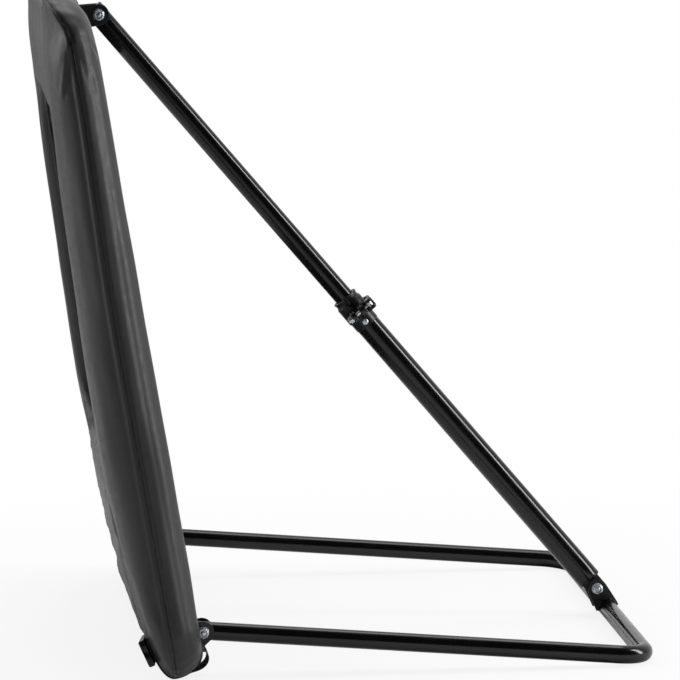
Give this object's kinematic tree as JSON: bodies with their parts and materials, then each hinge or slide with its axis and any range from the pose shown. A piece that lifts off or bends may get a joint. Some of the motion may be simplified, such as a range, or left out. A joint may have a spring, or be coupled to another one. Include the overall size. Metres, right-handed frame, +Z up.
{
  "type": "rebounder net",
  "caption": "Free-standing rebounder: a padded panel with a net window leans on a U-shaped tube base and a telescopic strut with a quick-release clamp.",
  "frame": {"origin": "centre of the bounding box at the floor", "axes": "+X from the net panel towards the rear bar of the base, +Y along the panel away from the leg nearest the viewer, +Z up"},
  "size_m": [0.8328, 0.99, 0.9208],
  "materials": {
    "black_vinyl_fabric": "woven nylon coated with matt vinyl",
    "grey_foam": "soft closed-cell foam",
    "black_net": "knotted black cord",
    "black_webbing": "woven webbing",
    "gloss_black_tube": "gloss black powder coat",
    "satin_black_steel": "satin black powder coat",
    "zinc_steel": "bright zinc plate",
    "black_nylon": "moulded black nylon"
  },
  "bodies": {
    "base": {"base_tube": "gloss_black_tube", "base_plug_near": "black_nylon", "base_plug_far": "black_nylon", "foot_bracket_near": "satin_black_steel", "foot_bracket_far": "satin_black_steel", "foot_pivot_bolt": "zinc_steel", "foot_pivot_nut": "zinc_steel", "foot_pivot_washer_near": "zinc_steel", "foot_pivot_washer_far": "zinc_steel"},
    "strut_upper": {"strut_upper_tube": "gloss_black_tube", "strut_top_plug": "black_nylon", "strut_guide_bush": "black_nylon"},
    "strut_lower": {"strut_lower_tube": "gloss_black_tube", "strut_foot_fitting": "black_nylon", "clamp_collar": "black_nylon", "clamp_liner": "black_nylon", "clamp_bolt": "zinc_steel", "clamp_nut": "zinc_steel", "clamp_thrust_washer": "zinc_steel", "clamp_rivet": "zinc_steel"},
    "cam_lever": {"cam_lever": "black_nylon", "cam_pin": "zinc_steel"},
    "panel": {"frame_upper_tube": "gloss_black_tube", "frame_lower_tube": "gloss_black_tube", "frame_spigot_near": "satin_black_steel", "frame_spigot_far": "satin_black_steel", "top_bracket": "satin_black_steel", "leg_bracket_near": "satin_black_steel", "leg_bracket_far": "satin_black_steel", "foam_pad_near": "grey_foam", "foam_pad_far": "grey_foam", "foam_pad_top": "grey_foam", "foam_pad_bottom": "grey_foam", "front_cover": "black_vinyl_fabric", "rear_cover": "black_vinyl_fabric", "net_border_tape": "black_webbing", "net": "black_net", "strap_near": "black_webbing", "strap_far": "black_webbing", "buckle_near": "black_nylon", "buckle_far": "black_nylon", "top_pivot_bolt": "zinc_steel", "top_pivot_nut": "zinc_steel", "top_pivot_washer_near": "zinc_steel", "top_pivot_washer_far": "zinc_steel", "leg_pivot_near_bolt": "zinc_steel", "leg_pivot_near_nut": "zinc_steel", "leg_pivot_near_washer_near": "zinc_steel", "leg_pivot_near_washer_far": "zinc_steel", "leg_pivot_far_bolt": "zinc_steel", "leg_pivot_far_nut": "zinc_steel", "leg_pivot_far_washer_near": "zinc_steel", "leg_pivot_far_washer_far": "zinc_steel"}
  },
  "joints": [
    {"name": "panel_tilt", "type": "hinge", "parent": "base", "child": "panel", "pos_m": [-0.20545, 0, 0.062], "axis": [0, 1, 0], "range_deg": [0, 20]},
    {"name": "strut_top_pivot", "type": "hinge", "parent": "panel", "child": "strut_upper", "pos_m": [-0.31879, 0, 0.87233], "axis": [0, 1, 0], "range_deg": [-7.2, 0]},
    {"name": "strut_telescope", "type": "slide", "parent": "strut_upper", "child": "strut_lower", "axis": [0.6464, 0, -0.763], "range_m": [-0.172, 0]},
    {"name": "clamp_lever", "type": "hinge", "parent": "strut_lower", "child": "cam_lever", "pos_m": [0.05891, -0.0273, 0.45838], "axis": [0.6464, 0, -0.763], "range_deg": [0, 110]}
  ],
  "couplings": [
    {"joint": "strut_top_pivot", "follows": "panel_tilt", "ratio": -0.3465},
    {"joint": "strut_telescope", "follows": "panel_tilt", "m_per_rad": -0.4717}
  ]
}
